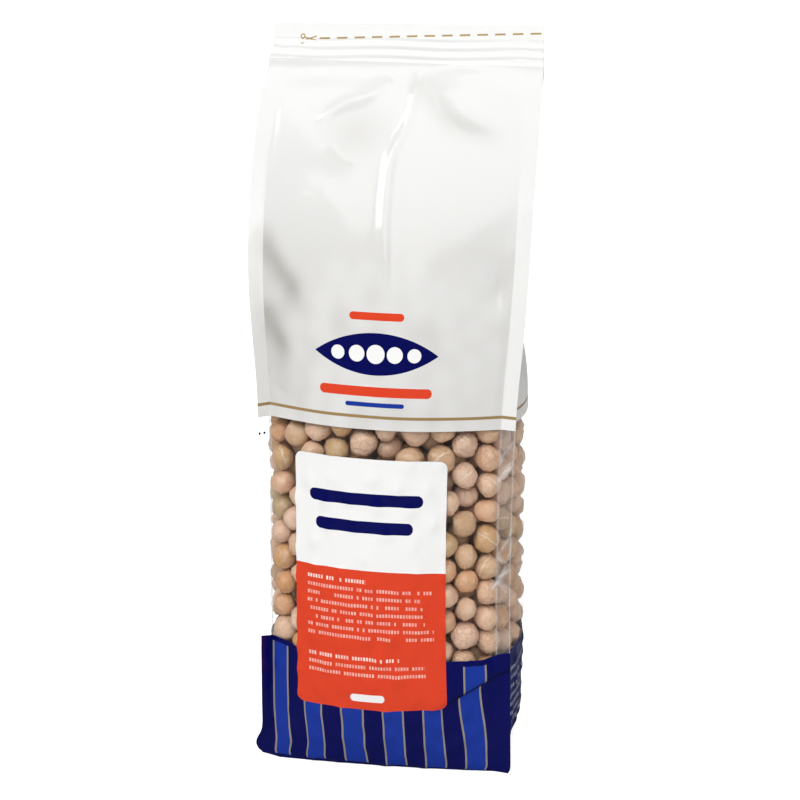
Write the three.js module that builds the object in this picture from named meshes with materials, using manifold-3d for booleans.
// A bag of dried peas that stands on its own block bottom. One tube of clear film makes a front
// panel, a back panel and two folded gussets, joined along four corner seams that stand out as
// fins. Peas fill two thirds of it and swell the panels; above them the gussets fold inwards and
// the panels close into a flat top seal.
// Millimetres, +Z up, the front faces -Y, and the origin is at the middle of the base.

import * as THREE from "three";
import { mergeVertices } from "three/addons/utils/BufferGeometryUtils.js";
import Module from "manifold-3d";

// ---- Driving dimensions ----

const BAG_HEIGHT = 220; // standing height, base to the top edge of the seal
const SEAL_START = 209; // where the flat top seal begins
const PANEL_FILM = 72; // film of the front or back panel between its two seams
const GUSSET_FILM = 49; // film of a side gusset between its two seams
const FIN_WIDTH = 4.4; // how far a corner fin stands out from its seam
const FIN_THICKNESS = 1.0; // a fin is two films sealed together, drawn thick enough to hold
const FIN_ROOT = 1.5; // how far a fin reaches into the body
const SEAL_THICKNESS = 1.6; // the films pressed together in the top seal
const BASE_ROUNDING = 2.0; // radius round the foot of the bag

// How the filled film swells, by height. depth is the seam's distance from the middle plane,
// panel the bulge of the front and back, and side the bulge of a gusset, or its fold if negative.
// gather is how much half a panel is drawn in by small folds, or let out of its seams if negative.
// lean is how far the bag leans to the right.
const SWELL = [
  { z: 0, depth: 20.5, panel: 1.5, side: 1.0, gather: 2.3, lean: 0 },
  { z: 10, depth: 22.3, panel: 5.0, side: 3.2, gather: 1.7, lean: 0 },
  { z: 30, depth: 23.5, panel: 8.4, side: 4.4, gather: 1.0, lean: 0 },
  { z: 70, depth: 23.9, panel: 10.0, side: 4.7, gather: 0.6, lean: 0 },
  { z: 112, depth: 23.6, panel: 9.6, side: 3.9, gather: 0, lean: 0.45 },
  { z: 134, depth: 22.8, panel: 7.6, side: 0.5, gather: -0.9, lean: 0.55 },
  { z: 150, depth: 20.6, panel: 5.6, side: -9.5, gather: -1.3, lean: 0.5 },
  { z: 168, depth: 16.0, panel: 3.8, side: -17.0, gather: -1.4, lean: 0.5 },
  { z: 186, depth: 10.0, panel: 2.2, side: -20.0, gather: -1.3, lean: 0.85 },
  { z: 200, depth: 4.4, panel: 0.8, side: -15.0, gather: -0.8, lean: 1.4 },
  { z: SEAL_START, depth: 0.8, panel: 0, side: 0, gather: -0.1, lean: 2.1 },
  { z: 213, depth: 0.8, panel: 0, side: 0, gather: 0.6, lean: 2.8 },
  { z: BAG_HEIGHT, depth: 0.8, panel: 0, side: 0, gather: 0.9, lean: 3.1 },
];

// The back right corner is drawn in above the peas, where the bag is a little twisted, and at
// its foot, where the film is folded under.
const DRAWN_IN = { most: 4.2, from: 114, full: 136, until: 175, gone: SEAL_START };
const FOOT_DRAWN_IN = { most: 3.6, gone: 12 };

// A fin's turn away from the panel's plane where the bag is full, in degrees, by corner. It has
// its full turn below turnedTo and lies in the plane of the seal above flatFrom.
const CORNERS = [
  { name: "front_right", x: 1, y: -1, turn: 14, turnedTo: 100, flatFrom: 150 },
  { name: "front_left", x: -1, y: -1, turn: 48, turnedTo: 120, flatFrom: 185 },
  { name: "back_right", x: 1, y: 1, turn: 105, turnedTo: 190, flatFrom: SEAL_START },
  { name: "back_left", x: -1, y: 1, turn: 62, turnedTo: 140, flatFrom: 206 },
];

// ---- Mesh density ----

const PANEL_STEPS = 12; // faces across the front, and across the back
const GUSSET_STEPS = 8; // faces across each gusset
const ROW_STEP = 7; // height of one row of faces
const RING_STEPS = 2 * (PANEL_STEPS + GUSSET_STEPS);

const MATERIAL = new THREE.MeshStandardMaterial({
  color: new THREE.Color(0.89, 0.88, 0.85),
  roughness: 0.35,
  metalness: 0.0,
});

// ---- The film's shape ----

// The swell at one height: a smooth curve through the stations of SWELL.
function swellAt(z, key) {
  let i = 0;
  while (i < SWELL.length - 2 && z > SWELL[i + 1].z) i += 1;
  const slope = (k) => {
    const before = SWELL[Math.max(k - 1, 0)];
    const after = SWELL[Math.min(k + 1, SWELL.length - 1)];
    return (after[key] - before[key]) / (after.z - before.z);
  };
  const low = SWELL[i];
  const high = SWELL[i + 1];
  const span = high.z - low.z;
  const t = THREE.MathUtils.clamp((z - low.z) / span, 0, 1);
  const startSlope = low.z >= SEAL_START ? 0 : slope(i);
  const endSlope = high.z >= SEAL_START ? 0 : slope(i + 1);
  const t2 = t * t;
  const t3 = t2 * t;
  return (
    (2 * t3 - 3 * t2 + 1) * low[key] +
    (t3 - 2 * t2 + t) * span * startSlope +
    (3 * t2 - 2 * t3) * high[key] +
    (t3 - t2) * span * endSlope
  );
}

// Half the straight distance between two seams whose film bulges by this much.
function halfChord(film, bulge) {
  return (film - (8 / 3) * (bulge * bulge) / film) / 2;
}

// Half the straight distance between a panel's two seams at one height.
function halfWidthAt(z) {
  return halfChord(PANEL_FILM, swellAt(z, "panel")) - swellAt(z, "gather");
}

// How far the back right corner is drawn in at one height.
function drawnInAt(z) {
  const { most, from, full, until, gone } = DRAWN_IN;
  const above = THREE.MathUtils.smoothstep(z, from, full);
  const foot = FOOT_DRAWN_IN.most * (1 - THREE.MathUtils.smoothstep(z, -2, FOOT_DRAWN_IN.gone));
  return foot + most * above * (1 - THREE.MathUtils.smoothstep(z, until, gone));
}

// How far the foot's rounding draws the wall in at one height.
function footInset(z) {
  const rest = Math.max(BASE_ROUNDING - z, 0);
  return BASE_ROUNDING - Math.sqrt(BASE_ROUNDING ** 2 - rest ** 2);
}

// The seam at one corner: side x and y are -1 or +1.
function seamPoint(corner, z) {
  const inset = footInset(z);
  const drawn = corner.name === "back_right" ? drawnInAt(z) : 0;
  return new THREE.Vector2(
    swellAt(z, "lean") + corner.x * (halfWidthAt(z) - inset) - drawn,
    corner.y * (swellAt(z, "depth") - inset),
  );
}

// A point of the wall at one height. turn runs round the bag from 0 to 1, from the middle of the
// front, past the right gusset, the back and the left gusset.
function wallPoint(turn, z) {
  const step = turn * RING_STEPS;
  const width = halfWidthAt(z) - footInset(z);
  const depth = swellAt(z, "depth") - footInset(z);
  const toCorner = PANEL_STEPS / 2;
  const quarters = [
    { start: -toCorner, steps: PANEL_STEPS, side: 0 },
    { start: toCorner, steps: GUSSET_STEPS, side: 1 },
    { start: toCorner + GUSSET_STEPS, steps: PANEL_STEPS, side: 2 },
    { start: toCorner + GUSSET_STEPS + PANEL_STEPS, steps: GUSSET_STEPS, side: 3 },
  ];
  const wrapped = step > RING_STEPS - toCorner ? step - RING_STEPS : step;
  const quarter = quarters.findLast((q) => wrapped >= q.start);
  const along = (2 * (wrapped - quarter.start)) / quarter.steps - 1;
  if (quarter.side % 2 === 0) {
    const facing = quarter.side === 0 ? -1 : 1;
    const bulge = swellAt(z, "panel") * (1 - along * along);
    const drawn = facing > 0 ? (drawnInAt(z) * (1 - along)) / 2 : 0;
    const x = swellAt(z, "lean") - facing * along * width - drawn;
    return new THREE.Vector2(x, facing * (depth + bulge));
  }
  const facing = quarter.side === 1 ? 1 : -1;
  const side = swellAt(z, "side");
  const shape = side > 0 ? 1 - along * along : 1 - Math.abs(along);
  const drawn = facing > 0 ? (drawnInAt(z) * (1 + along)) / 2 : 0;
  const x = swellAt(z, "lean") + facing * (width + side * shape) - drawn;
  return new THREE.Vector2(x, facing * along * depth);
}

// ---- Solids ----

// Row heights: close together round the foot, even up the bag, then the seal.
function rowHeights() {
  const rows = [0, 0.3 * BASE_ROUNDING, BASE_ROUNDING];
  const evenRows = Math.round((SEAL_START - BASE_ROUNDING) / ROW_STEP);
  for (let i = 1; i <= evenRows; i += 1) {
    rows.push(BASE_ROUNDING + ((SEAL_START - BASE_ROUNDING) * i) / evenRows);
  }
  rows.push(213, BAG_HEIGHT);
  return rows;
}

// A closed geometry whose vertices are shared, which is what a join needs.
function weld(geometry) {
  geometry.deleteAttribute("normal");
  geometry.deleteAttribute("uv");
  return mergeVertices(geometry, 1e-5);
}

// The film's outer skin as one closed solid: a cylinder whose rings take the bag's sections.
function bodyGeometry() {
  const rows = rowHeights();
  const steps = rows.length - 1;
  const geometry = new THREE.CylinderGeometry(1, 1, 1, RING_STEPS, steps, false);
  geometry.rotateX(Math.PI / 2);
  const place = geometry.getAttribute("position");
  for (let i = 0; i < place.count; i += 1) {
    const x = place.getX(i);
    const y = place.getY(i);
    const z = rows[Math.round((place.getZ(i) + 0.5) * steps)];
    if (Math.hypot(x, y) < 0.5) {
      place.setXYZ(i, swellAt(z, "lean"), 0, z);
      continue;
    }
    const turn = THREE.MathUtils.euclideanModulo(Math.atan2(x, -y) / (2 * Math.PI), 1);
    const step = Math.round(turn * RING_STEPS) % RING_STEPS;
    const wall = wallPoint(step / RING_STEPS, z);
    place.setXYZ(i, wall.x, wall.y, z);
  }
  return weld(geometry);
}

// One corner fin: a thin upright strip that follows its seam and turns with the height.
function finGeometry(corner) {
  const rows = rowHeights();
  const steps = rows.length - 1;
  const geometry = new THREE.BoxGeometry(1, 1, 1, 1, 1, steps);
  const place = geometry.getAttribute("position");
  for (let i = 0; i < place.count; i += 1) {
    const z = rows[Math.round((place.getZ(i) + 0.5) * steps)];
    const turned = 1 - THREE.MathUtils.smoothstep(z, corner.turnedTo, corner.flatFrom);
    const angle = THREE.MathUtils.degToRad(corner.turn * turned);
    const outwards = new THREE.Vector2(corner.x * Math.cos(angle), corner.y * Math.sin(angle));
    const across = new THREE.Vector2(-outwards.y, outwards.x);
    const pressed = Math.min(swellAt(z, "depth"), SEAL_THICKNESS / 2);
    const middle = seamPoint(corner, z);
    middle.y -= corner.y * Math.min(pressed, FIN_THICKNESS / 2);
    const reach = place.getX(i) > 0 ? FIN_WIDTH : -FIN_ROOT;
    middle.addScaledVector(outwards, reach);
    middle.addScaledVector(across, place.getY(i) * FIN_THICKNESS);
    place.setXYZ(i, middle.x, middle.y, z);
  }
  return weld(geometry);
}

// ---- Joining ----

const wasm = await Module();
wasm.setup();

function toSolid(geometry) {
  return new wasm.Manifold(
    new wasm.Mesh({
      numProp: 3,
      vertProperties: new Float32Array(geometry.getAttribute("position").array),
      triVerts: new Uint32Array(geometry.getIndex().array),
    }),
  );
}

function toGeometry(solid) {
  const mesh = solid.getMesh();
  const geometry = new THREE.BufferGeometry();
  geometry.setAttribute("position", new THREE.BufferAttribute(mesh.vertProperties, 3));
  geometry.setIndex(new THREE.BufferAttribute(mesh.triVerts, 1));
  return geometry;
}

// The whole bag: its body with a fin joined along each corner seam.
function bagGeometry() {
  let bag = toSolid(bodyGeometry());
  for (const corner of CORNERS) {
    bag = bag.add(toSolid(finGeometry(corner)));
  }
  return toGeometry(bag);
}

// Moves a geometry so that the middle of its base is the origin.
function standOnOrigin(geometry) {
  geometry.computeBoundingBox();
  const box = geometry.boundingBox;
  const middle = box.getCenter(new THREE.Vector3());
  geometry.translate(-middle.x, -middle.y, -box.min.z);
  geometry.computeVertexNormals();
  return geometry;
}

const group = new THREE.Group();
const bag = new THREE.Mesh(standOnOrigin(bagGeometry()), MATERIAL);
bag.name = "bag";
group.add(bag);

export default group;
